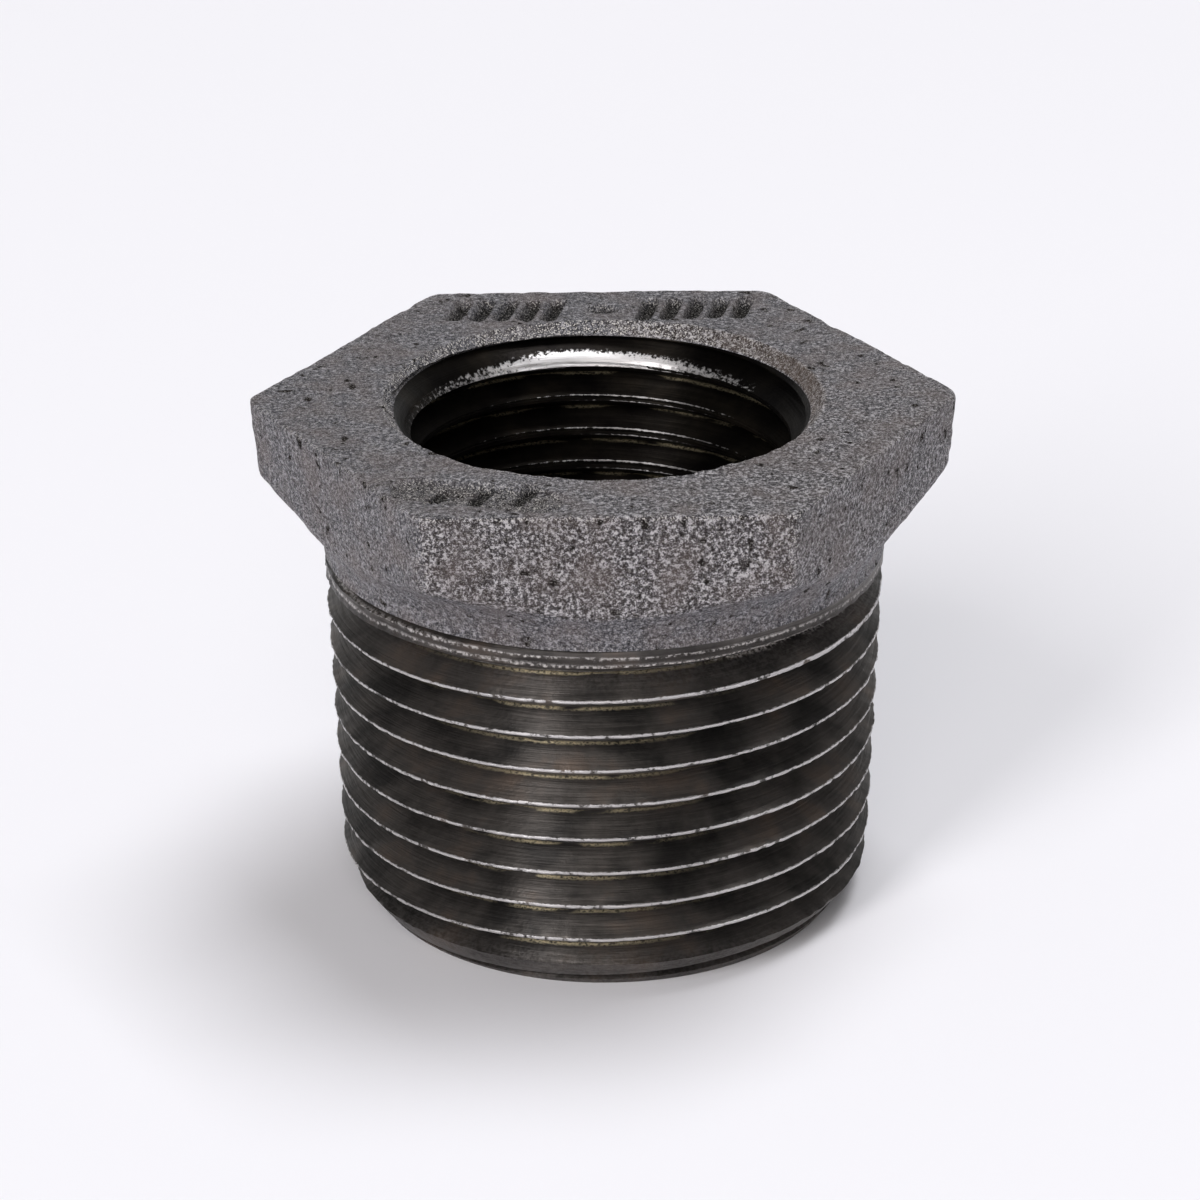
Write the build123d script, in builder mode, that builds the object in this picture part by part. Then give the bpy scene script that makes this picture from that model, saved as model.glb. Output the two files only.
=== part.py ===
from build123d import *
import math
import os

# Hex bushing, 3/4 x 1/2 pipe size, cast in malleable iron, in millimetres.
# It stands on its small end. The origin is on the axis at that end, +Z runs up to
# the hexagon's top face, and two corners of the hexagon lie over the X axis.
# The outside thread is cut here as a real tapered helix with its run-out. The inside
# thread isn't: the bore is the tap drill's plain hole, whose wall its groove would cut.

# Height and hexagon
total_height = 25.8
across_flats = 29.9            # at the top face
flat_draft = 4.0               # degrees that each flat leans in going down
corner_rounding = 1.2          # upright edges between two flats
top_edge_chamfer = 0.25
underside_height = 20.1        # where the underside's slope meets the thread blank
underside_slope = 28.5         # degrees above level, going outwards
neck_radius = 3.0              # hollow between the underside and the blank
neck_cuts = 4                  # straight cuts that stand for the hollow's arc

# Outside thread
threads_per_inch = 14
taper_on_radius = 1 / 32       # 1 in 16 on the diameter
crest_flat = 0.12
flank_angle = 30.0             # degrees of a flank from square to the axis
male_radius = 13.1             # over the crests, at the small end
end_chamfer_length = 2.1
groove_height = 0.893          # a groove's root where it passes over the +X axis
full_turns = 8.75              # turns at full depth, from that height up
runout_turns = 1.2             # the groove fades out over these
winding_turns = 3              # the groove's cutter is wound in lengths of this many turns
first_joint_turn = 1.5         # the first two lengths meet here

# Bore
bore_radius = 9.1              # 18.2 tap drill
bore_end_chamfer = 0.5
mouth_radius = 10.6            # cast bevel round the bore's mouth, at the top face
mouth_bevel_width = 0.6
mouth_bevel_depth = 0.7
countersink_angle = 45.0       # degrees from the axis, from the bevel down to the bore

# Worked out from the sizes above
pitch = 25.4 / threads_per_inch
flank_run = math.tan(math.radians(flank_angle))
thread_depth = (pitch - crest_flat) / 2 / flank_run      # 1.467, sharp root
overrun = 0.05                 # how far the cutter's flanks run on past the crests
air = 0.6                      # how far the cutter then stands clear of the metal
lead_turns = math.ceil(groove_height / pitch) + 1        # turns below the small end


def male_radius_at(height):
    """Radius over the crests."""
    return male_radius + height * taper_on_radius


def groove(first_turn, last_turn, growth):
    """A length of the V-shaped cutter, wound up from one turn to another.

    Turns are counted from where the root passes over the +X axis at groove_height.
    growth is how much the root's radius grows for each millimetre of height."""
    start_height = groove_height + first_turn * pitch
    root = male_radius_at(start_height) - thread_depth
    crest = root + thread_depth + overrun
    half_width = (pitch - crest_flat) / 2 + overrun * flank_run
    lean = math.degrees(math.atan(growth))
    with BuildPart() as winding:
        with BuildLine() as path:
            Helix(
                pitch=pitch / math.cos(math.radians(lean)),
                height=(last_turn - first_turn) * pitch,
                radius=root,
                center=(0, 0, start_height),
                cone_angle=lean,
            )
        with BuildSketch(Plane.XZ):
            with BuildLine():
                Polyline(
                    (root, start_height),
                    (crest, start_height - half_width),
                    (crest + air, start_height - half_width),
                    (crest + air, start_height + half_width),
                    (crest, start_height + half_width),
                    close=True,
                )
            make_face()
        sweep(path=path.line, is_frenet=True)
    return winding.part.rotate(Axis.Z, 360 * first_turn)


# The whole groove's cutter: its full turns in a few lengths, then the run-out
with BuildPart() as groove_cutter:
    turn = -lead_turns
    joint_turn = min(first_joint_turn, full_turns)
    while turn < full_turns:
        add(groove(turn, joint_turn, taper_on_radius))
        turn = joint_turn
        joint_turn = min(turn + winding_turns, full_turns)
    runout_growth = (thread_depth + 3 * overrun) / (runout_turns * pitch)
    add(groove(full_turns, full_turns + runout_turns, taper_on_radius + runout_growth))

# The hollow under the head, an arc that leaves the blank and the underside along their lines
foot_radius = male_radius_at(underside_height)
lean = math.degrees(math.atan(taper_on_radius))
hollow_turn = 90 - underside_slope - lean
hollow_reach = neck_radius * math.tan(math.radians(hollow_turn / 2))
hollow_radius = (
    foot_radius
    - hollow_reach * math.sin(math.radians(lean))
    + neck_radius * math.cos(math.radians(lean))
)
hollow_height = (
    underside_height
    - hollow_reach * math.cos(math.radians(lean))
    - neck_radius * math.sin(math.radians(lean))
)

# Where the mouth's countersink meets the bore
bevel_radius = mouth_radius - mouth_bevel_width
countersink_depth = (bevel_radius - bore_radius) / math.tan(math.radians(countersink_angle))
countersink_bottom = total_height - mouth_bevel_depth - countersink_depth

# How far down the head's block runs into the blank, and how far out its outlines run
block_bottom = underside_height - neck_radius
beyond = across_flats
underside_rise = (beyond - foot_radius) * math.tan(math.radians(underside_slope))

with BuildPart() as bushing:
    # The hexagon's drafted block, cut below by the sloping underside and the hollow
    with BuildSketch(Plane.XY.offset(total_height)) as hexagon:
        RegularPolygon(across_flats / 2, 6, major_radius=False)
        fillet(hexagon.vertices(), corner_rounding)
    extrude(amount=block_bottom - total_height, taper=flat_draft)
    with BuildSketch(Plane.XZ):
        with BuildLine():
            hollow = CenterArc(
                (hollow_radius, hollow_height),
                neck_radius,
                start_angle=180 - lean,
                arc_size=-hollow_turn,
                mode=Mode.PRIVATE,
            )
            Polyline(
                (beyond, underside_height + underside_rise),
                (beyond, total_height + beyond),
                (0, total_height + beyond),
                (0, block_bottom),
                (male_radius_at(block_bottom), block_bottom),
                *[hollow @ (cut / neck_cuts) for cut in range(neck_cuts + 1)],
                close=True,
            )
        make_face()
    revolve(axis=Axis.Z, mode=Mode.INTERSECT)
    top_face = bushing.faces().sort_by(Axis.Z)[-1]
    chamfer(top_face.outer_wire().edges(), top_edge_chamfer)

    # The tapered blank for the outside thread, with its end chamfered down to the roots
    with BuildSketch(Plane.XZ):
        with BuildLine():
            Polyline(
                (0, 0),
                (male_radius - thread_depth, 0),
                (male_radius_at(end_chamfer_length), end_chamfer_length),
                (male_radius_at(block_bottom), block_bottom),
                (0, block_bottom),
                close=True,
            )
        make_face()
    revolve(axis=Axis.Z)

    # The bore right through, with its chamfer, countersink and cast bevel
    with BuildSketch(Plane.XZ):
        with BuildLine():
            Polyline(
                (0, 0),
                (bore_radius + bore_end_chamfer, 0),
                (bore_radius, bore_end_chamfer),
                (bore_radius, countersink_bottom),
                (bevel_radius, total_height - mouth_bevel_depth),
                (mouth_radius, total_height),
                (0, total_height),
                close=True,
            )
        make_face()
    revolve(axis=Axis.Z, mode=Mode.SUBTRACT)

    # The outside thread
    add(groove_cutter.part, mode=Mode.SUBTRACT)

bushing.part.label = "hex_bushing"
os.makedirs("parts", exist_ok=True)
export_step(bushing.part, "parts/hex_bushing.step")
print("hex_bushing", round(bushing.part.volume, 1), "mm3")
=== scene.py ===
"""Hex bushing in black malleable iron, standing on its small end on a pale floor.

The CAD solid stays the frame, and three meshes stand for its surface: the cast head,
the outside thread and the bore with its thread. Sizes are in millimetres until a mesh
is made. Each mesh is a grid: a column for each direction round the axis, and rows that
run along the wall's section there. A thread's rows follow its helix.
"""

import math

import bmesh
import bpy
import numpy as np
from mathutils import Matrix, Vector


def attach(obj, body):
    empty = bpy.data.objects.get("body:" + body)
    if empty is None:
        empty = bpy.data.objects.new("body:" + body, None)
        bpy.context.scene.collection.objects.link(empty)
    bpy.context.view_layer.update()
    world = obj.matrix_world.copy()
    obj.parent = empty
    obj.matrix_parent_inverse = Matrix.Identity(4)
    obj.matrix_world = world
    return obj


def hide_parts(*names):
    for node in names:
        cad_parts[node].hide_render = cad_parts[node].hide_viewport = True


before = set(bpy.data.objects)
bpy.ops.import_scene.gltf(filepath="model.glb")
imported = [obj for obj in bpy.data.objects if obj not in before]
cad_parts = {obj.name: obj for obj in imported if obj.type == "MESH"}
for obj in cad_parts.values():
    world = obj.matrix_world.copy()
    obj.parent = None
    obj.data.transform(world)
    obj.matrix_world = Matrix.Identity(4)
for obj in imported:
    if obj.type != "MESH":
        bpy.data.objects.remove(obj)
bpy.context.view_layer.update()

MM = 0.001

# Head, with the CAD part's sizes
TOTAL_HEIGHT = 25.8
ACROSS_FLATS = 29.9             # at the top face
APOTHEM = ACROSS_FLATS / 2
FLAT_DRAFT = math.radians(4.0)
CORNER_ROUNDING = 1.2           # of an upright edge
UNDERSIDE_HEIGHT = 20.1
UNDERSIDE_SLOPE = math.radians(28.5)
NECK_FILLET = 3.0

# Head, what the casting and its wear change
SOFT_CORNER_ROUNDING = 1.5      # the front left upright edge
SOFT_CORNER_DIRECTION = 240.0   # degrees round the axis
CRISP_CORNER_ROUNDING = 0.7     # the front right upright edge
CRISP_CORNER_DIRECTION = 300.0
TOP_EDGE_ROUNDING = 0.2
LOWER_EDGE_ROUNDING = 0.6
LOWER_EDGE_DROP = LOWER_EDGE_ROUNDING * 0.6     # where that round ends, under its corner
ROUND_PULL = 1.7                # how near a round comes to its corner, 2 for a parabola
CAST_END_HEIGHT = 18.5          # where the lathe stopped, under the neck
SKIN_DROP = 0.05                # the cast skin's mean lies this far under the true form
BROAD_LUMP_HEIGHT = 0.045
SMALL_LUMP_HEIGHT = 0.035
GRAIN_HEIGHT = 0.030
BEVEL_GRAIN_HEIGHT = 0.045      # more than that on the mouth's bevel
MARK_GRAIN_HEIGHT = 0.04        # more than that in a sunk mark
NICK_REACH = 0.35               # how far from a top edge its nicks reach
NICK_DEPTH = 0.12

# Plain sunk marks on the top face: bars and a dot at the back, a patch at the front left
BAR_PLACES = (-7.2, -6.0, -4.8, -3.6, -2.4, 2.4, 3.6, 4.8, 6.0, 7.2)
BAR_FRONT = 11.1
BAR_BACK = 13.4
BAR_LEAN = 0.25                 # half of what a bar's two ends lie apart in X
BAR_HALF_WIDTH = 0.36
DOT_START = (-0.1, 12.2)
DOT_END = (0.35, 12.2)
DOT_HALF_WIDTH = 0.5
MARK_DEPTH = 0.5                # of the bars and the dot
MARK_SIDE = 0.16                # width of a mark's sloping side
PATCH_START = (-8.6, -11.4)
PATCH_END = (-3.2, -13.0)
PATCH_HALF_WIDTH = 1.25
PATCH_DEPTH = 0.24
PATCH_BAR_SHIFTS = (0.6, 2.6, 4.6)
PATCH_BAR_FRONT = -12.6
PATCH_BAR_BACK = -11.4
PATCH_BAR_LEAN = 0.6
PATCH_BAR_HALF_WIDTH = 0.34

# Outside thread
PITCH = 25.4 / 14
TAPER = 1 / 32                  # on the radius
FLANK = math.tan(math.radians(30))
CREST_FLAT = 0.12
MALE_RADIUS = 13.1
END_RADIUS = 11.65
END_CHAMFER = 2.1
MALE_PHASE = 0.893              # height of a groove's middle over +X
MALE_LAST_FULL = 16.77          # the groove fades out above this height
MALE_RUNOUT_TURNS = 1.2
MALE_TURNS = (-1, 10)           # first and last groove, counted from MALE_PHASE
TORN_FROM = 16.1                # the turned metal is torn above this height
BURRS_FROM = 16.0               # the run-out's bright burr lines lie above this height
BARE_UNTIL = 17.0               # the crests are bare below this height

# Bore and inside thread
BORE_RADIUS = 9.1
BORE_END_CHAMFER = 0.5
MOUTH_RADIUS = 10.6
MOUTH_BEVEL_WIDTH = 0.6
MOUTH_BEVEL_DEPTH = 0.7
BEVEL_BOTTOM = TOTAL_HEIGHT - MOUTH_BEVEL_DEPTH
COUNTERSINK_BOTTOM = 23.85      # worn round, so it reaches lower than it was cut
FEMALE_ROOT_AT_TOP = 10.52      # radius of the root, carried on to the top face
FEMALE_PHASE = 24.41            # height of a groove's middle over +X
FEMALE_LAST_FULL = 12.4         # the groove fades out below this height
FEMALE_RUNOUT_TURNS = 1.6
FEMALE_TURNS = (-9, 1)          # first and last groove, counted from FEMALE_PHASE
TAPPED_BOTTOM = 8.6             # the bore is plain below this height

# Both threads
CREST_BAND = 0.05               # the wall counts as crest down to this depth
BURR_CELL = 0.35                # size of the burrs on the crests
ROOT_LINE_DEPTH = 0.8           # a groove's root line starts at this depth
ROOT_LINE_FADE = 0.4
PAST_WALL = 0.3                 # how far a groove that has faded out stands off the wall
NARROWEST_FLANK = 0.10          # height of a flank's rows where the groove has faded out

# How fine the meshes are
HEAD_COLUMNS = 720
THREAD_COLUMNS = 600
FLANK_STEPS = (0.10, 0.5, 0.95, 1.0)    # places of a flank's rows, from root to crest
CREST_STEPS = 2                 # across an outside crest
LAND_STEPS = 4                  # across an inside crest, which is wider
END_FACE_ROWS = 8
PLAIN_BORE_ROWS = 8
PLAIN_BORE_START = 1.5          # height of the lowest of them
BEVEL_ROWS = 8
TOP_FACE_ROWS = 30
TOP_EDGE_ROWS = 5
FLAT_ROWS = 26
LOWER_EDGE_ROWS = 7
NECK_ROWS = 24
MERGE_DISTANCE = 0.002          # points nearer than this are one point
SHORTEST_EDGE = 0.001           # shorter edges are taken out
THREAD_SHARP_ANGLE = 32         # degrees between faces above which an edge stays sharp
CAST_SHARP_ANGLE = 60
GROOVE_HALVINGS = 24            # steps of the search for a groove's edge
CORNER_HALVINGS = 30            # steps of the search for a flat's lower edge

# Numbers that scatter the noise
LATTICE_PRIMES = (374761393, 668265263, 2147483647, 974634777)
LATTICE_MIXER = 1274126177
LATTICE_MASK = 0xFFFFFFFF
LATTICE_RANGE = 0xFFFFFF


# ---------------------------------------------------------------- noise

def lattice_value(ix, iy, iz, seed):
    """A repeatable number from 0 to 1 for each lattice point."""
    by_x, by_y, by_z, by_seed = LATTICE_PRIMES
    h = (ix * by_x + iy * by_y + iz * by_z + seed * by_seed) & LATTICE_MASK
    h = ((h ^ (h >> 13)) * LATTICE_MIXER) & LATTICE_MASK
    h = h ^ (h >> 16)
    return (h & LATTICE_RANGE) / float(LATTICE_RANGE)


def smooth_noise(points, cell, seed):
    """Value noise from -1 to 1 at each point, smooth over cells of that size."""
    p = points / cell
    base = np.floor(p).astype(np.int64)
    f = p - base
    f = f * f * (3 - 2 * f)
    total = 0.0
    for dx in (0, 1):
        for dy in (0, 1):
            for dz in (0, 1):
                weight = (
                    (f[..., 0] if dx else 1 - f[..., 0])
                    * (f[..., 1] if dy else 1 - f[..., 1])
                    * (f[..., 2] if dz else 1 - f[..., 2])
                )
                corner = base + np.array([dx, dy, dz])
                value = lattice_value(corner[..., 0], corner[..., 1], corner[..., 2], seed)
                total = total + weight * value
    return 2 * total - 1


# ---------------------------------------------------------------- grids and meshes

def ring_points(radius, height, angle):
    """Points of a grid [column, row] from radii and heights, with an angle for each column."""
    angle = angle[:, None]
    return np.stack([radius * np.cos(angle), radius * np.sin(angle), height], axis=-1)


def closed_grid_faces(columns, rows, shift):
    """Quads of a grid whose last column joins its first, moved by shift rows."""
    faces = []
    for column in range(columns):
        following = (column + 1) % columns
        step = shift if following == 0 else 0
        here = column * rows
        there = following * rows + step
        for row in range(rows - 1):
            if row + 1 + step >= rows or row + step < 0:
                continue
            faces.append((here + row, here + row + 1, there + row + 1, there + row))
    return faces


def grid_normals(points):
    """Unit normals of a closed grid of points [column, row], out of the metal."""
    along = np.roll(points, -1, axis=0) - np.roll(points, 1, axis=0)
    down = np.gradient(points, axis=1)
    normal = np.cross(down, along)
    return normal / np.maximum(np.linalg.norm(normal, axis=-1, keepdims=True), 1e-9)


def make_mesh(name, grids, material, sharp_angle):
    """One mesh from grids of (points, surface marks, groove places, row shift).

    The marks are three numbers from 0 to 1 at each point, and the places say how far
    it is along and across the groove, in millimetres. The materials read the marks, and
    the threads' materials also read the places."""
    faces = []
    start = 0
    for grid, _, _, shift in grids:
        columns, rows = grid.shape[:2]
        for face in closed_grid_faces(columns, rows, shift):
            faces.append(tuple(start + i for i in face))
        start += columns * rows
    points, marks, places = (
        np.concatenate([grid[i].reshape(-1, 3) for grid in grids]) for i in range(3)
    )
    mesh = bpy.data.meshes.new(name)
    mesh.from_pydata((points * MM).tolist(), [], faces)
    mesh.materials.append(material)
    for layer_name, values in (("surface_marks", marks), ("groove_place", places)):
        layer = mesh.attributes.new(layer_name, "FLOAT_VECTOR", "POINT")
        layer.data.foreach_set("vector", values.astype(np.float32).ravel())
    merge_and_smooth(mesh, sharp_angle)
    piece = bpy.data.objects.new(name, mesh)
    bpy.context.scene.collection.objects.link(piece)
    return piece


def merge_and_smooth(mesh, sharp_angle):
    """Join the points that coincide, drop empty faces and shade all but sharp edges smooth."""
    work = bmesh.new()
    work.from_mesh(mesh)
    bmesh.ops.remove_doubles(work, verts=work.verts, dist=MERGE_DISTANCE * MM)
    bmesh.ops.dissolve_degenerate(work, edges=work.edges, dist=SHORTEST_EDGE * MM)
    work.to_mesh(mesh)
    work.free()
    mesh.shade_smooth()
    mesh.set_sharp_from_angle(angle=math.radians(sharp_angle))


# ---------------------------------------------------------------- sections

def band(value, start, width):
    """0 at a start, rising to 1 over a width. A negative width lies below the start."""
    return np.clip((value - start) / width, 0, 1)


def halve(low, high, below, times):
    """Narrow each pair of low and high down to where below stops being true."""
    for _ in range(times):
        middle = (low + high) / 2
        still_below = below(middle)
        low = np.where(still_below, middle, low)
        high = np.where(still_below, high, middle)
    return low, high


def neck_radius(z):
    """Radius of the blank, the cast hollow over it and the sloping underside."""
    slope = math.tan(UNDERSIDE_SLOPE)
    foot_radius = MALE_RADIUS + TAPER * UNDERSIDE_HEIGHT
    underside = foot_radius + (z - UNDERSIDE_HEIGHT) / slope
    # the hollow is an arc that touches the blank and the underside
    lean = math.atan(TAPER)
    turn = math.pi / 2 - UNDERSIDE_SLOPE - lean
    reach = NECK_FILLET * math.tan(turn / 2)
    start_z = UNDERSIDE_HEIGHT - reach * math.cos(lean)
    start_r = MALE_RADIUS + TAPER * start_z
    centre_r = start_r + NECK_FILLET * math.cos(lean)
    centre_z = start_z - NECK_FILLET * math.sin(lean)
    end_z = UNDERSIDE_HEIGHT + reach * math.sin(UNDERSIDE_SLOPE)
    rise = np.clip(z - centre_z, -NECK_FILLET, NECK_FILLET)
    hollow = centre_r - np.sqrt(NECK_FILLET**2 - rise**2)
    blank = MALE_RADIUS + TAPER * z
    return np.where(z < start_z, blank, np.where(z < end_z, hollow, underside))


def male_blank(z):
    """Radius of the turned blank that the outside thread is cut in."""
    chamfer_top = MALE_RADIUS + TAPER * END_CHAMFER
    chamfer = END_RADIUS + (chamfer_top - END_RADIUS) * z / END_CHAMFER
    return np.minimum(neck_radius(z), chamfer)


def male_root(turns):
    """Height and radius of the outside groove's root after that many turns from +X."""
    z = MALE_PHASE + PITCH * turns
    depth = (PITCH - CREST_FLAT) / 2 / FLANK
    last_turns = (MALE_LAST_FULL - MALE_PHASE) / PITCH
    fade = np.clip((turns - last_turns) / MALE_RUNOUT_TURNS, 0, 1)
    return z, MALE_RADIUS + TAPER * z - depth * (1 - fade) + PAST_WALL * (fade >= 1)


def bore_wall(z):
    """Radius of the bore before it is tapped, with its bevels."""
    end = BORE_RADIUS + BORE_END_CHAMFER - z
    inner = MOUTH_RADIUS - MOUTH_BEVEL_WIDTH
    sink_slope = (inner - BORE_RADIUS) / (BEVEL_BOTTOM - COUNTERSINK_BOTTOM)
    sink = inner - (BEVEL_BOTTOM - z) * sink_slope
    bevel = inner + (z - BEVEL_BOTTOM) * MOUTH_BEVEL_WIDTH / MOUTH_BEVEL_DEPTH
    mouth = np.where(z > BEVEL_BOTTOM, bevel, sink)
    return np.maximum(np.maximum(end, mouth), BORE_RADIUS)


def female_root(turns):
    """Height and radius of the inside groove's root after that many turns from +X."""
    z = FEMALE_PHASE + PITCH * turns
    full = FEMALE_ROOT_AT_TOP - TAPER * (TOTAL_HEIGHT - z)
    last_turns = (FEMALE_LAST_FULL - FEMALE_PHASE) / PITCH
    fade = np.clip((last_turns - turns) / FEMALE_RUNOUT_TURNS, 0, 1)
    return z, full - (full - BORE_RADIUS) * fade - PAST_WALL * (fade >= 1)


def groove_half_width(wall, root_z, root_r, side, outward):
    """How far above (side 1) or below (side -1) its root the groove meets the wall."""
    def is_cut(offset):
        cut = root_r + outward * offset / FLANK
        return outward * (wall(root_z + side * offset) - cut) > 0

    widest = PITCH / 2 - 0.01
    low, high = halve(
        np.zeros_like(root_z), np.full_like(root_z, widest), is_cut, GROOVE_HALVINGS
    )
    return (low + high) / 2


def rows_per_turn(land_steps):
    """Rows from one turn of a groove to the next: land, lower flank, root, upper flank."""
    return 2 * len(FLANK_STEPS) + land_steps


def thread_rows(root, wall, turns, outward, angle, land_steps):
    """Heights of the rows of a helical groove, from its lowest turn up.

    Each turn has the same rows: the land below, the lower flank, the root and the
    upper flank. A groove that has faded out keeps narrow rows on the plain wall."""
    def flank_height(root_z, root_r, side):
        half_width = groove_half_width(wall, root_z, root_r, side, outward)
        return np.maximum(half_width, NARROWEST_FLANK)

    heights = []
    first_turn, last_turn = turns
    for turn in range(first_turn, last_turn + 1):
        turns_here = angle / (2 * math.pi) + turn
        root_z, root_r = root(turns_here)
        below = flank_height(root_z, root_r, -1)
        above = flank_height(root_z, root_r, 1)
        _, last_root_r = root(turns_here - 1)
        last_above = flank_height(root_z - PITCH, last_root_r, 1)
        land_low = root_z - PITCH + last_above
        land_high = root_z - below
        for step in range(1, land_steps):
            heights.append(land_low + (land_high - land_low) * step / land_steps)
        for place in reversed(FLANK_STEPS):
            heights.append(root_z - below * place)
        heights.append(root_z)
        for place in FLANK_STEPS:
            heights.append(root_z + above * place)
    return np.stack(heights, axis=-1)


def turns_at(phase, z, angle):
    """Turns up the helix from +X to the groove nearest each point."""
    turn = angle / (2 * math.pi)
    return np.round((z - phase) / PITCH - turn) + turn


def cut_radius(root, wall, phase, z, angle, outward):
    """Radius of the threaded wall at a height and direction."""
    root_z, root_r = root(turns_at(phase, z, angle))
    cut = root_r + outward * np.abs(z - root_z) / FLANK
    plain = wall(z)
    if outward > 0:
        return np.minimum(plain, cut)
    return np.maximum(plain, cut)


def groove_place(phase, z, angle, radius):
    """How far along the groove and up from its middle each point is."""
    turns = turns_at(phase, z, angle)
    along = turns * 2 * math.pi * radius
    return np.stack([along, z - phase - turns * PITCH, np.zeros_like(z)], axis=-1)


def male_surface(z, angle):
    """Radius of the outside thread at a height and direction."""
    return cut_radius(male_root, male_blank, MALE_PHASE, z, angle, 1)


def bore_surface(z, angle):
    """Radius of the tapped bore at a height and direction."""
    return cut_radius(female_root, bore_wall, FEMALE_PHASE, z, angle, -1)


def level_rings(heights, radii, columns):
    """Heights and radii of plain rings, the same in every column."""
    shape = (columns, len(heights))
    return np.broadcast_to(heights, shape), np.broadcast_to(radii, shape)


def columns_round(count):
    """That many directions, evenly round the axis from +X."""
    return np.linspace(0, 2 * math.pi, count, endpoint=False)


def degrees_away(angle, direction):
    """How far each angle is from a direction, in degrees."""
    return np.abs((np.degrees(angle) - direction + 180) % 360 - 180)


def glow(angle, direction, spread):
    """1 towards a direction, fading over some degrees to either side."""
    return np.exp(-((degrees_away(angle, direction) / spread) ** 2))


def on_crest(depth):
    """1 on a crest, 0 just below it."""
    return np.clip(1 - depth / CREST_BAND, 0, 1)


def on_root(depth):
    """1 along a groove's root, 0 on its flanks' upper part."""
    return band(depth, ROOT_LINE_DEPTH, ROOT_LINE_FADE)


# ---------------------------------------------------------------- outside thread

def outside_thread(material):
    """The outside thread down to the small end's flat face, which the part stands on.

    Marks: bare crest with a painted sheen strongest at the front, painted glint line at the
    groove's root, torn metal."""
    angle = columns_round(THREAD_COLUMNS)
    z = thread_rows(male_root, male_blank, MALE_TURNS, 1, angle, CREST_STEPS)
    z = np.clip(z, 0, CAST_END_HEIGHT)[:, ::-1]
    r = male_surface(z, angle[:, None])
    depth = male_blank(z) - r

    # Burrs on the crests and torn, rippled metal in the run-out, both true at the two ends
    turned = band(z, 0.3, 0.3) * band(z, CAST_END_HEIGHT - 0.1, -0.2)
    where = ring_points(r, z, angle)
    long_ripples = np.array([0.12, 0.12, 1.0])
    fine = smooth_noise(where, BURR_CELL, seed=11)
    broad = smooth_noise(where, 1.6, seed=12)
    ripple = smooth_noise(where * long_ripples, 0.26, seed=13)
    burr = on_crest(depth) * turned * (0.050 * fine + 0.025 * broad)
    torn = band(z, TORN_FROM, 0.8) * turned
    r = r + burr + torn * (0.050 * ripple + 0.02 * fine - 0.04)

    # The crests are bare above the end chamfer, and a painted sheen makes them brightest at the
    # front
    chamfer = band(z, END_CHAMFER, -0.4)
    bare = np.clip(1 - depth / 0.08, 0, 1) * (1 - chamfer) * band(z, BARE_UNTIL, -0.6)
    painted_sheen = (0.6 + 0.4 * glow(angle, 275, 60))[:, None]
    bare = bare * painted_sheen * np.clip(0.85 + 0.6 * fine, 0, 1)
    # Painted glint: a bright line along the groove's root, only towards the front left
    root_glint_mark = on_root(depth) * glow(angle, 260, 24)[:, None]
    marks = np.stack([bare, root_glint_mark, np.maximum(torn, 0.6 * chamfer)], axis=-1)
    place = groove_place(MALE_PHASE, z, angle[:, None], MALE_RADIUS)

    end_r = np.linspace(END_RADIUS, BORE_RADIUS + BORE_END_CHAMFER, END_FACE_ROWS)
    flat_z, flat_r = level_rings(np.zeros(END_FACE_ROWS), end_r, len(angle))
    flat_r = flat_r.copy()
    flat_r[:, 0] = male_surface(0 * angle, angle)
    flat = ring_points(flat_r, flat_z, angle)
    grids = [
        (ring_points(r, z, angle), marks, place, -rows_per_turn(CREST_STEPS)),
        (flat, np.zeros_like(flat), flat, 0),
    ]
    return make_mesh("outside_thread", grids, material, THREAD_SHARP_ANGLE)


# ---------------------------------------------------------------- bore

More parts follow.
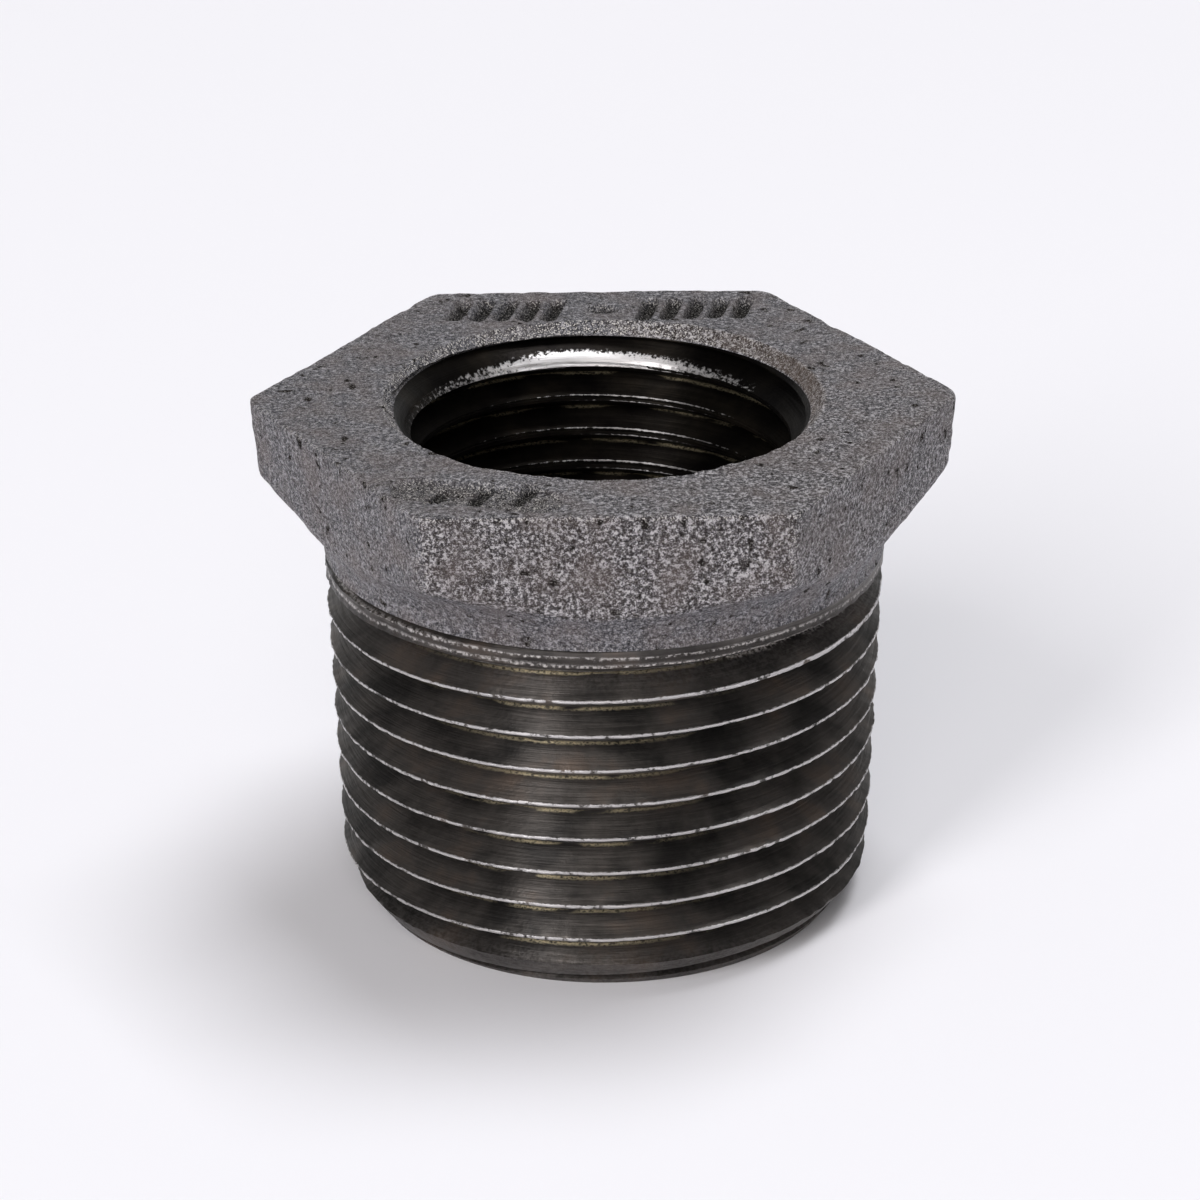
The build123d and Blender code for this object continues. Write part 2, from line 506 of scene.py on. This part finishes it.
def tapped_bore(material):
    """The inside thread, and the plain bore under it down to its chamfer.

    Marks: painted highlights on the crests' edges and the countersink, painted glint line at the
    groove's root, and none in the third place."""
    angle = columns_round(THREAD_COLUMNS)
    z = thread_rows(female_root, bore_wall, FEMALE_TURNS, -1, angle, LAND_STEPS)
    row_in_turn = np.arange(z.shape[1]) % rows_per_turn(LAND_STEPS)
    top_edge = row_in_turn == LAND_STEPS - 1
    low_edge = row_in_turn == rows_per_turn(LAND_STEPS) - 1
    z = np.clip(z, TAPPED_BOTTOM, BEVEL_BOTTOM)
    r = bore_surface(z, angle[:, None])
    depth = r - bore_wall(z)
    inside = band(z, BEVEL_BOTTOM - 0.1, -0.2) * band(z, TAPPED_BOTTOM, 0.5)
    where = ring_points(r, z, angle)
    fine = smooth_noise(where, BURR_CELL, seed=21)
    broad = smooth_noise(where, 1.8, seed=22)
    r = r - on_crest(depth) * inside * (0.016 * fine + 0.012 * broad)

    # Painted highlights: a crest's edges shine towards the back, and so does the rounded
    # countersink
    is_cut = (z > TAPPED_BOTTOM + 1) | (depth > 0.25)
    bright = (0.75 * glow(angle, 74, 30) + 0.25 * glow(angle, 105, 55))[:, None]
    edges = np.where(top_edge, bright, np.where(low_edge, 0.7 * bright**2, 0.0)) * is_cut
    highlit_crest = np.clip(1.3 - depth / 0.3, 0, 1)
    painted_sheen = highlit_crest * band(z, COUNTERSINK_BOTTOM + 0.68, -0.2)
    painted_sheen = painted_sheen * (0.25 + 0.75 * glow(angle, 90, 40))[:, None]
    bare = np.where(z > COUNTERSINK_BOTTOM - 0.02, painted_sheen, edges)
    # The second mark is a painted glint along the groove's root, at half strength all round
    marks = np.stack([bare, 0.5 * on_root(depth), np.zeros_like(z)], axis=-1)
    place = groove_place(FEMALE_PHASE, z, angle[:, None], BORE_RADIUS)

    wall_z = np.linspace(PLAIN_BORE_START, TAPPED_BOTTOM, PLAIN_BORE_ROWS)
    low_z = np.concatenate([[0.0, BORE_END_CHAMFER], wall_z])
    plain_z, plain_r = level_rings(low_z, bore_wall(low_z), len(angle))
    plain = ring_points(plain_r, plain_z, angle)
    grids = [
        (plain, np.zeros_like(plain), plain, 0),
        (ring_points(r, z, angle), marks, place, rows_per_turn(LAND_STEPS)),
    ]
    return make_mesh("tapped_bore", grids, material, THREAD_SHARP_ANGLE)


# ---------------------------------------------------------------- cast head

def hexagon_radius(angle, apothem, rounding):
    """Distance from the axis to a hexagon with rounded corners, corners over 0, 60, 120..."""
    corner = np.radians(np.abs((np.degrees(angle) + 30) % 60 - 30))
    thirty = math.radians(30)
    centre = (apothem - rounding) / math.cos(thirty)
    tangent = np.arctan2(rounding / 2, centre + rounding * math.cos(thirty))
    reach = np.sqrt(np.maximum(rounding**2 - (centre * np.sin(corner)) ** 2, 0))
    on_arc = centre * np.cos(corner) + reach
    on_flat = apothem / np.cos(thirty - corner)
    return np.where(corner < tangent, on_arc, on_flat)


def corner_rounding(angle):
    """Rounding of the upright edge that each direction is nearest to."""
    soft = degrees_away(angle, SOFT_CORNER_DIRECTION) < 30
    crisp = degrees_away(angle, CRISP_CORNER_DIRECTION) < 30
    rounding = np.where(crisp, CRISP_CORNER_ROUNDING, CORNER_ROUNDING)
    return np.where(soft, SOFT_CORNER_ROUNDING, rounding)


def flat_outline(angle):
    """Each direction's top radius, its lean inwards, and its lower corner's radius and height."""
    top_r = hexagon_radius(angle, APOTHEM, corner_rounding(angle))
    lean = math.tan(FLAT_DRAFT) * top_r / APOTHEM

    def under_flat(z):
        return neck_radius(z) < top_r - lean * (TOTAL_HEIGHT - z)

    corner_z, _ = halve(
        np.full_like(top_r, CAST_END_HEIGHT),
        np.full_like(top_r, TOTAL_HEIGHT),
        under_flat,
        CORNER_HALVINGS,
    )
    return top_r, lean, top_r - lean * (TOTAL_HEIGHT - corner_z), corner_z


def rounded(start, corner, end, steps):
    """Rows of a round between two straight runs, as a curve that touches both."""
    t = np.linspace(0, 1, steps)[None, :]
    pull = ROUND_PULL * t * (1 - t)
    total = (1 - t) ** 2 + pull + t**2
    rows = []
    for a, b, c in zip(start, corner, end):
        rows.append(((1 - t) ** 2 * a[:, None] + pull * b[:, None] + t**2 * c[:, None]) / total)
    return rows


def between(start, end, steps):
    """Rows evenly from one value to another in each column, both ends left out."""
    t = np.linspace(0, 1, steps + 2)[1:-1]
    return start[:, None] + (end - start)[:, None] * t


def head_rows(angle):
    """Radii and heights of the head's rows, from the mouth's bevel out and down to the neck."""
    one = np.ones_like(angle)
    bevel_z = np.linspace(BEVEL_BOTTOM, TOTAL_HEIGHT, BEVEL_ROWS)[None, :] * one[:, None]
    bevel_r = bore_surface(bevel_z, angle[:, None])
    top_r, lean, corner_r, corner_z = flat_outline(angle)
    height = TOTAL_HEIGHT * one
    side = np.hypot(lean, 1)
    down_r = -lean / side
    down_z = -1 / side
    top_arc = rounded(
        (top_r - TOP_EDGE_ROUNDING, height),
        (top_r, height),
        (top_r + down_r * TOP_EDGE_ROUNDING, height + down_z * TOP_EDGE_ROUNDING),
        TOP_EDGE_ROWS,
    )
    under_z = corner_z - LOWER_EDGE_DROP
    low_arc = rounded(
        (corner_r - down_r * LOWER_EDGE_ROUNDING, corner_z - down_z * LOWER_EDGE_ROUNDING),
        (corner_r, corner_z),
        (neck_radius(under_z), under_z),
        LOWER_EDGE_ROWS,
    )
    neck_z = between(under_z, CAST_END_HEIGHT * one, NECK_ROWS)
    end_z = (CAST_END_HEIGHT * one)[:, None]
    r = np.concatenate([
        bevel_r,
        between(bevel_r[:, -1], top_arc[0][:, 0], TOP_FACE_ROWS),
        top_arc[0],
        between(top_arc[0][:, -1], low_arc[0][:, 0], FLAT_ROWS),
        low_arc[0],
        neck_radius(neck_z),
        neck_radius(end_z),
    ], axis=1)
    z = np.concatenate([
        bevel_z,
        np.repeat(height[:, None], TOP_FACE_ROWS, axis=1),
        top_arc[1],
        between(top_arc[1][:, -1], low_arc[1][:, 0], FLAT_ROWS),
        low_arc[1],
        neck_z,
        end_z,
    ], axis=1)
    return r, z


def stroke(points, start, end, half_width):
    """0 to 1: how far inside a straight stroke on the top face each point is."""
    p = points[..., :2]
    a = np.array(start)
    along = np.array(end) - a
    t = np.clip(((p - a) @ along) / max(along @ along, 1e-9), 0, 1)
    distance = np.linalg.norm(p - (a + t[..., None] * along), axis=-1)
    return np.clip((half_width - distance) / MARK_SIDE + 0.5, 0, 1)


def sunk_marks(points):
    """Depth of the plain marks on the top face, which spell nothing."""
    depth = PATCH_DEPTH * stroke(points, PATCH_START, PATCH_END, PATCH_HALF_WIDTH)
    bars = [(DOT_START, DOT_END, DOT_HALF_WIDTH)]
    for place in BAR_PLACES:
        bars.append(((place - BAR_LEAN, BAR_FRONT), (place + BAR_LEAN, BAR_BACK), BAR_HALF_WIDTH))
    for shift in PATCH_BAR_SHIFTS:
        x = PATCH_START[0] + shift
        front = (x, PATCH_BAR_FRONT)
        back = (x + PATCH_BAR_LEAN, PATCH_BAR_BACK)
        bars.append((front, back, PATCH_BAR_HALF_WIDTH))
    for start, end, half_width in bars:
        depth = np.maximum(depth, MARK_DEPTH * stroke(points, start, end, half_width))
    return depth


def cast_head(material):
    """The head and the cast neck under it, lumpy, grained and nicked along its top edges.

    Marks: bright grains and painted highlights, brown oxide, depth of a sunk mark."""
    angle = columns_round(HEAD_COLUMNS)
    r, z = head_rows(angle)
    points = ring_points(r, z, angle)
    top_r, _, _, corner_z = flat_outline(angle)
    top_r = top_r[:, None]
    corner_z = corner_z[:, None]

    # The casting's unevenness, which fades out where the head meets its neighbours
    fade = np.ones(points.shape[1])
    fade[:3] = (0, 0.4, 0.8)
    fade[-4:] = (0.7, 0.4, 0.2, 0)
    normal = grid_normals(points)
    broad_lumps = smooth_noise(points, 2.6, seed=3)
    small_lumps = smooth_noise(points, 0.9, seed=4)
    lumps = broad_lumps * BROAD_LUMP_HEIGHT + small_lumps * SMALL_LUMP_HEIGHT
    grains = smooth_noise(points, 0.36, seed=5)
    bevel = band(r, MOUTH_RADIUS + 0.15, -0.2) * (z > BEVEL_BOTTOM)
    near_edge = np.clip(1 - np.hypot(r - top_r, z - TOTAL_HEIGHT) / NICK_REACH, 0, 1)
    nicks = smooth_noise(points, 0.8, seed=6) + 0.25 * smooth_noise(points, 0.4, seed=7)
    nicks = np.clip(nicks, 0, 1)
    depth = sunk_marks(points) * (z > TOTAL_HEIGHT - 0.001)
    in_mark = np.clip(depth / 0.2, 0, 1)
    grain_height = GRAIN_HEIGHT + BEVEL_GRAIN_HEIGHT * bevel + MARK_GRAIN_HEIGHT * in_mark
    shift = lumps + grains * grain_height - SKIN_DROP - NICK_DEPTH * nicks * near_edge
    points = points + normal * (shift * fade)[..., None]
    points[..., 2] -= depth

    # Where the metal is bright, brown and sunk. Bright: grains on the mouth's bevel, and painted
    # highlights on the sunk marks' sides and shallow parts, along the top edges (most at the
    # front) and on the two front upright edges.
    sunk = np.clip(depth / 0.45, 0, 1)
    brown = bevel * np.clip(1 - degrees_away(angle, 20) / 70, 0, 1)[:, None]
    on_flat = (z < TOTAL_HEIGHT - 0.1) * (z > corner_z)
    front = (degrees_away(angle, 270) < 30)[:, None] * on_flat
    rough_side = 0.13 * glow(angle, 315, 60)[:, None] * (z > corner_z) * (1 - brown)
    soft_edge = np.clip(1 - degrees_away(angle, SOFT_CORNER_DIRECTION) / 3.0, 0, 1)
    crisp_edge = np.clip(1 - degrees_away(angle, CRISP_CORNER_DIRECTION) / 1.4, 0, 1)
    # Painted highlights on the front left and front right upright edges
    upright = (0.35 * soft_edge + 0.5 * crisp_edge)[:, None] * on_flat
    bright = 0.9 * bevel * (1 - brown) + in_mark * (1 - sunk)
    bright = bright + near_edge * (0.4 + 0.6 * front) + upright
    brown = np.maximum(np.maximum(brown, 0.22 * front), rough_side)
    marks = np.stack([np.clip(bright, 0, 1), brown, sunk], axis=-1)
    return make_mesh("cast_head", [(points, marks, points, 0)], material, CAST_SHARP_ANGLE)


# ---------------------------------------------------------------- material nodes

def new_material(name):
    """A material, its node tree and its shader."""
    material = bpy.data.materials.new(name)
    material.use_nodes = True
    tree = material.node_tree
    return material, tree, tree.nodes["Principled BSDF"]


def object_point(tree):
    """Object coordinates in metres."""
    return tree.nodes.new("ShaderNodeTexCoord").outputs["Object"]


def split_vector(tree, vector):
    """The three numbers of a vector."""
    split = tree.nodes.new("ShaderNodeSeparateXYZ")
    tree.links.new(vector, split.inputs["Vector"])
    return split.outputs["X"], split.outputs["Y"], split.outputs["Z"]


def mesh_attribute(tree, name):
    """What the mesh gives at each point under that name."""
    attribute = tree.nodes.new("ShaderNodeAttribute")
    attribute.attribute_name = name
    return attribute.outputs["Vector"]


def add_noise(tree, scale, detail, rough, point=None):
    """Noise from 0 to 1 at a point, which is the object's own unless another is given."""
    noise = tree.nodes.new("ShaderNodeTexNoise")
    noise.inputs["Scale"].default_value = scale
    noise.inputs["Detail"].default_value = detail
    noise.inputs["Roughness"].default_value = rough
    tree.links.new(point or object_point(tree), noise.inputs["Vector"])
    return noise.outputs["Fac"]


def add_ramp(tree, source, stops):
    """Colours or grey levels along a value: stops of (place, colour or level)."""
    ramp = tree.nodes.new("ShaderNodeValToRGB")
    elements = ramp.color_ramp.elements
    while len(elements) < len(stops):
        elements.new(0.5)
    for element, (place, colour) in zip(elements, stops):
        if not isinstance(colour, tuple):
            colour = (colour, colour, colour)
        element.position = place
        element.color = (*colour, 1)
    tree.links.new(source, ramp.inputs["Fac"])
    return ramp.outputs["Color"]


def add_math(tree, operation, *values):
    """One step of arithmetic on numbers and on other nodes' values."""
    node = tree.nodes.new("ShaderNodeMath")
    node.operation = operation
    for socket, value in zip(node.inputs, values):
        if isinstance(value, (int, float)):
            socket.default_value = value
        else:
            tree.links.new(value, socket)
    return node.outputs["Value"]


def add_mix(tree, factor, a, b):
    """Colour a, turning into colour b as the factor goes from 0 to 1."""
    node = tree.nodes.new("ShaderNodeMix")
    node.data_type = "RGBA"
    tree.links.new(factor, node.inputs["Factor"])
    for socket, value in ((node.inputs[6], a), (node.inputs[7], b)):
        if isinstance(value, tuple):
            socket.default_value = (*value, 1)
        else:
            tree.links.new(value, socket)
    return node.outputs[2]


def add_bump(tree, height, strength, distance, before=None):
    """Normals of a surface raised by a height from 0 to 1, over a bump added before."""
    bump = tree.nodes.new("ShaderNodeBump")
    bump.inputs["Strength"].default_value = strength
    bump.inputs["Distance"].default_value = distance
    tree.links.new(height, bump.inputs["Height"])
    if before is not None:
        tree.links.new(before, bump.inputs["Normal"])
    return bump.outputs["Normal"]


def surface_marks(tree):
    """The three marks that the mesh gives at each point."""
    return split_vector(tree, mesh_attribute(tree, "surface_marks"))


def groove_point(tree, along, across):
    """Coordinates that follow the thread's groove, scaled along it and across it."""
    mapping = tree.nodes.new("ShaderNodeMapping")
    mapping.inputs["Scale"].default_value = (along, across, 1)
    tree.links.new(mesh_attribute(tree, "groove_place"), mapping.inputs["Vector"])
    return mapping.outputs["Vector"]


# ---------------------------------------------------------------- materials

def cast_iron():
    """Sand-cast black iron: dark grey and grainy, with small bright specks and dark pits, painted
    highlights and painted shade in sunk marks.

    Marks: bright grains and painted highlights, brown oxide, depth of a sunk mark."""
    warm_stain = (0.125, 0.098, 0.092)
    brown_oxide = (0.085, 0.060, 0.046)
    pit_black = (0.020, 0.017, 0.016)
    painted_shade_black = (0.004, 0.004, 0.003)
    bare_grain_and_glint = (0.62, 0.59, 0.56)

    material, tree, surface = new_material("cast_black_iron")
    bright, brown, sunk = surface_marks(tree)
    grain = add_noise(tree, 5000, 3.0, 0.85)
    fine = add_noise(tree, 12500, 1.0, 0.5)
    blotch = add_noise(tree, 420, 3.0, 0.6)
    pits = add_noise(tree, 1500, 1.0, 0.5)

    coarse_skin = add_ramp(tree, grain, [
        (0.40, (0.008, 0.008, 0.010)),
        (0.475, (0.048, 0.046, 0.053)),
        (0.53, (0.116, 0.110, 0.121)),
        (0.59, (0.580, 0.560, 0.580)),
    ])
    fine_skin = add_ramp(tree, grain, [
        (0.37, (0.020, 0.020, 0.024)),
        (0.47, (0.072, 0.070, 0.079)),
        (0.54, (0.122, 0.118, 0.130)),
        (0.62, (0.340, 0.330, 0.352)),
    ])
    coarse = add_ramp(tree, brown, [(0.0, 0.0), (0.2, 1.0)])
    colour = add_mix(tree, coarse, fine_skin, coarse_skin)
    warm = add_ramp(tree, blotch, [(0.42, 0.0), (0.68, 0.5)])
    colour = add_mix(tree, warm, colour, warm_stain)
    oxide = add_math(tree, "MULTIPLY", brown, 0.75)
    colour = add_mix(tree, oxide, colour, brown_oxide)
    pit = add_ramp(tree, pits, [(0.27, 1.0), (0.34, 0.0)])
    colour = add_mix(tree, pit, colour, pit_black)
    # Painted shade: the floors of sunk marks turn nearly black
    hollow = add_math(tree, "MULTIPLY", sunk, 0.92)
    colour = add_mix(tree, hollow, colour, painted_shade_black)
    # Bright specks at random, and more of them where painted highlights are marked
    speck = add_ramp(tree, fine, [(0.56, 0.0), (0.64, 1.0)])
    speck = add_math(tree, "MULTIPLY", speck, add_math(tree, "MULTIPLY_ADD", bright, 0.9, 0.25))
    colour = add_mix(tree, speck, colour, bare_grain_and_glint)
    tree.links.new(colour, surface.inputs["Base Color"])

    surface.inputs["Metallic"].default_value = 0.15
    gloss = add_ramp(tree, fine, [(0.35, 0.75), (0.65, 0.38)])
    tree.links.new(gloss, surface.inputs["Roughness"])
    clean = add_math(tree, "SUBTRACT", 1.0, add_math(tree, "MAXIMUM", hollow, pit))
    shine = add_ramp(tree, grain, [(0.38, 0.2), (0.62, 0.7)])
    tree.links.new(add_math(tree, "MULTIPLY", clean, shine), surface.inputs["Specular IOR Level"])

    broad = add_bump(tree, blotch, 0.5, 0.20 * MM)
    middle = add_bump(tree, grain, 1.0, 0.11 * MM, broad)
    small = add_bump(tree, fine, 0.8, 0.06 * MM, middle)
    tree.links.new(small, surface.inputs["Normal"])
    return material


def burr_lines(tree, ridges, grain):
    """1 along three level, wavering lines in the run-out, where torn metal stands up."""
    per_metre = 1 / ((CAST_END_HEIGHT - BURRS_FROM) * MM)
    start = -BURRS_FROM * MM * per_metre
    _, _, z = split_vector(tree, object_point(tree))
    height = add_math(tree, "MULTIPLY_ADD", z, per_metre, start)
    height = add_math(tree, "ADD", height, add_math(tree, "MULTIPLY", ridges, 0.10))
    height = add_math(tree, "ADD", height, add_math(tree, "MULTIPLY", grain, 0.10))
    lines = add_ramp(tree, height, [
        (0.44, 0.1), (0.49, 1.0), (0.54, 0.0),
        (0.73, 0.0), (0.78, 0.9), (0.83, 0.0),
        (0.91, 0.0), (0.95, 0.9), (0.99, 0.0),
    ])
    return add_math(tree, "MULTIPLY", lines, add_ramp(tree, grain, [(0.42, 0.05), (0.58, 1.0)]))


def painted_root_glint(tree, ridges, grain):
    """Painted glint: 1 along a thin broken line in the groove's root, just under its middle."""
    line_height = -0.05         # millimetres above the groove's middle
    _, height, _ = split_vector(tree, mesh_attribute(tree, "groove_place"))
    across = add_math(tree, "ABSOLUTE", add_math(tree, "SUBTRACT", height, line_height))
    across = add_math(tree, "ADD", across, add_math(tree, "MULTIPLY", grain, 0.2))
    line = add_ramp(tree, across, [(0.13, 1.0), (0.17, 0.0)])
    line = add_math(tree, "MULTIPLY", line, add_ramp(tree, grain, [(0.36, 0.1), (0.54, 1.0)]))
    return add_math(tree, "MULTIPLY", line, add_ramp(tree, ridges, [(0.40, 0.0), (0.50, 1.0)]))


def bare_crest_and_sheen(tree, crest, grain):
    """1 on bare crests and on painted highlights, with the jagged edge of rubbed-off blacking."""
    jagged = add_math(tree, "ADD", crest, add_math(tree, "MULTIPLY_ADD", grain, 1.6, -0.8))
    jagged = add_ramp(tree, jagged, [(0.35, 0.0), (0.65, 1.0)])
    return add_math(tree, "MULTIPLY", jagged, add_ramp(tree, crest, [(0.10, 0.0), (0.35, 1.0)]))


def turned_iron(name, shades, specular):
    """Machined thread: oily brown-black and satin, bare along the crests.

    Marks: bare crest with painted sheen and highlights, painted glint line at the groove's root,
    torn metal of the run-out."""
    torn_black = (0.030, 0.025, 0.023)
    burr_metal = (0.74, 0.70, 0.68)
    glint_yellow = (0.90, 0.78, 0.52)
    bare_metal_and_sheen = (0.60, 0.58, 0.58)

    material, tree, surface = new_material(name)
    # The second mark, root, is a painted glint line in the groove's root
    crest, root, torn = surface_marks(tree)
    lines = add_noise(tree, 1.0, 2.0, 0.6, groove_point(tree, 0.25, 9.0))
    ridges = add_noise(tree, 1.0, 1.0, 0.5, groove_point(tree, 0.35, 3.2))
    stain = add_noise(tree, 300, 4.0, 0.6)
    grain = add_noise(tree, 5200, 2.0, 0.6)

    colour = add_ramp(tree, stain, list(zip((0.35, 0.55, 0.72), shades)))
    colour = add_mix(tree, add_math(tree, "MULTIPLY", torn, 0.55), colour, torn_black)
    burrs = add_math(tree, "MULTIPLY", torn, burr_lines(tree, ridges, grain))
    colour = add_mix(tree, burrs, colour, burr_metal)
    # Painted glint in a bright yellow along the groove's root
    root_glint = add_math(tree, "MULTIPLY", root, painted_root_glint(tree, ridges, grain))
    colour = add_mix(tree, root_glint, colour, glint_yellow)
    # Bare crests, and the painted highlights and sheen, in pale metal
    colour = add_mix(tree, bare_crest_and_sheen(tree, crest, grain), colour, bare_metal_and_sheen)
    tree.links.new(colour, surface.inputs["Base Color"])

    metal = add_ramp(tree, stain, [(0.35, 0.86), (0.72, 0.70)])
    tree.links.new(metal, surface.inputs["Metallic"])
    gloss = add_ramp(tree, lines, [(0.35, 0.34), (0.65, 0.45)])
    tree.links.new(gloss, surface.inputs["Roughness"])
    surface.inputs["Specular IOR Level"].default_value = specular
    surface.inputs["Anisotropic"].default_value = 0.9
    surface.inputs["Anisotropic Rotation"].default_value = 0.25
    tangent = tree.nodes.new("ShaderNodeTangent")
    tangent.direction_type = "RADIAL"
    tangent.axis = "Z"
    tree.links.new(tangent.outputs["Tangent"], surface.inputs["Tangent"])

    cut = add_bump(tree, lines, 1.0, 0.04 * MM)
    rough = add_bump(tree, grain, 0.35, 0.03 * MM, cut)
    tree.links.new(rough, surface.inputs["Normal"])
    return material


def floor_material():
    """Matt and very pale, with hardly any shine."""
    material, _, surface = new_material("pale_floor")
    surface.inputs["Base Color"].default_value = (0.87, 0.862, 0.897, 1)
    surface.inputs["Roughness"].default_value = 0.8
    surface.inputs["Specular IOR Level"].default_value = 0.1
    return material


# ---------------------------------------------------------------- floor, light, camera

SENSOR_WIDTH = 36.0
CAMERA_LENS = 123.35
CAMERA_DISTANCE = 202.6         # from the target
CAMERA_ELEVATION = math.radians(24.14)
CAMERA_AZIMUTH = math.radians(-0.475)
CAMERA_ROLL = -0.0067           # radians
CAMERA_TARGET = (-0.217, 0.0, 14.985)
FLOOR_HALF_SIDE = 1.5           # metres
LAMP_DISTANCE = 2.5             # metres


def add_camera():
    """A camera that looks at the target from the front, a little to one side and rolled."""
    back = Vector((0, -math.cos(CAMERA_ELEVATION), math.sin(CAMERA_ELEVATION)))
    right = Vector((1, 0, 0))
    up = back.cross(right)
    right_rolled = right * math.cos(CAMERA_ROLL) + up * math.sin(CAMERA_ROLL)
    up_rolled = up * math.cos(CAMERA_ROLL) - right * math.sin(CAMERA_ROLL)
    place = Vector(CAMERA_TARGET) + back * CAMERA_DISTANCE
    matrix = Matrix((right_rolled, up_rolled, back)).transposed().to_4x4()
    matrix.translation = place * MM
    data = bpy.data.cameras.new("camera")
    data.sensor_width = SENSOR_WIDTH
    data.sensor_fit = "HORIZONTAL"
    data.lens = CAMERA_LENS
    data.clip_start = 0.01
    data.clip_end = 10
    camera = bpy.data.objects.new("camera", data)
    camera.matrix_world = Matrix.Rotation(CAMERA_AZIMUTH, 4, "Z") @ matrix
    bpy.context.scene.collection.objects.link(camera)
    bpy.context.scene.camera = camera


def add_floor():
    """A plain square floor round the object."""
    mesh = bpy.data.meshes.new("floor")
    half = FLOOR_HALF_SIDE
    corners = [(-half, -half, 0), (half, -half, 0), (half, half, 0), (-half, half, 0)]
    mesh.from_pydata(corners, [], [(0, 1, 2, 3)])
    mesh.materials.append(floor_material())
    floor = bpy.data.objects.new("floor", mesh)
    bpy.context.scene.collection.objects.link(floor)


def add_softbox(name, direction, spread, level, colour):
    """A lamp aimed at the part from LAMP_DISTANCE: its direction round the axis and above
    the floor, its width and height as seen from the part, all in degrees, and the light
    it sends to a surface that faces it, where 1 shows a white surface as white."""
    side, height = (math.radians(angle) for angle in direction)
    half_width, half_height = (math.radians(angle / 2) for angle in spread)
    way = Vector((
        math.cos(height) * math.cos(side),
        math.cos(height) * math.sin(side),
        math.sin(height),
    ))
    data = bpy.data.lights.new(name, "AREA")
    data.shape = "RECTANGLE"
    data.size = 2 * LAMP_DISTANCE * math.tan(half_width)
    data.size_y = 2 * LAMP_DISTANCE * math.tan(half_height)
    data.energy = level * (math.pi * LAMP_DISTANCE) ** 2
    data.color = colour
    light = bpy.data.objects.new(name, data)
    light.location = way * LAMP_DISTANCE
    light.rotation_euler = way.to_track_quat("Z", "Y").to_euler()
    bpy.context.scene.collection.objects.link(light)


def add_studio_light():
    """A sky that is bright near the floor and dim overhead, and three softboxes."""
    world = bpy.data.worlds.new("studio")
    bpy.context.scene.world = world
    world.use_nodes = True
    tree = world.node_tree
    direction = tree.nodes.new("ShaderNodeTexCoord").outputs["Generated"]
    _, _, height = split_vector(tree, direction)
    sky = add_ramp(tree, height, [(0.0, 0.90), (0.15, 0.66), (0.3, 0.22), (1.0, 0.10)])
    tree.links.new(sky, tree.nodes["Background"].inputs["Color"])
    add_softbox("key_softbox", (35, 75), (26, 26), 0.61, (0.97, 0.98, 1.0))
    add_softbox("front_softbox", (266, 37), (24, 34), 0.21, (1.0, 0.96, 0.93))
    add_softbox("left_softbox", (236, 35), (13, 34), 0.50, (1.0, 0.98, 0.98))


# ---------------------------------------------------------------- the part and its scene

# A thread's dark, middle and light shades, and its specular level. The bore's shades are far
# darker than the outside's: painted shade inside the bore.
OUTSIDE_SHADES = ((0.048, 0.045, 0.043), (0.105, 0.095, 0.088), (0.150, 0.116, 0.095))
OUTSIDE_SPECULAR = 0.5
BORE_SHADED_COLOURS = ((0.006, 0.005, 0.005), (0.014, 0.012, 0.010), (0.026, 0.021, 0.016))
BORE_SPECULAR = 0.12

cast = cast_iron()
turned = turned_iron("turned_black_iron", OUTSIDE_SHADES, OUTSIDE_SPECULAR)
# Painted shade: the bore's thread is a much darker copy of the thread material
tapped = turned_iron("bore_iron_painted_darker", BORE_SHADED_COLOURS, BORE_SPECULAR)
for piece in (cast_head(cast), outside_thread(turned), tapped_bore(tapped)):
    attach(piece, "root")
    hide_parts("hex_bushing")
add_floor()
add_studio_light()
add_camera()
bpy.context.scene.view_settings.view_transform = "Standard"
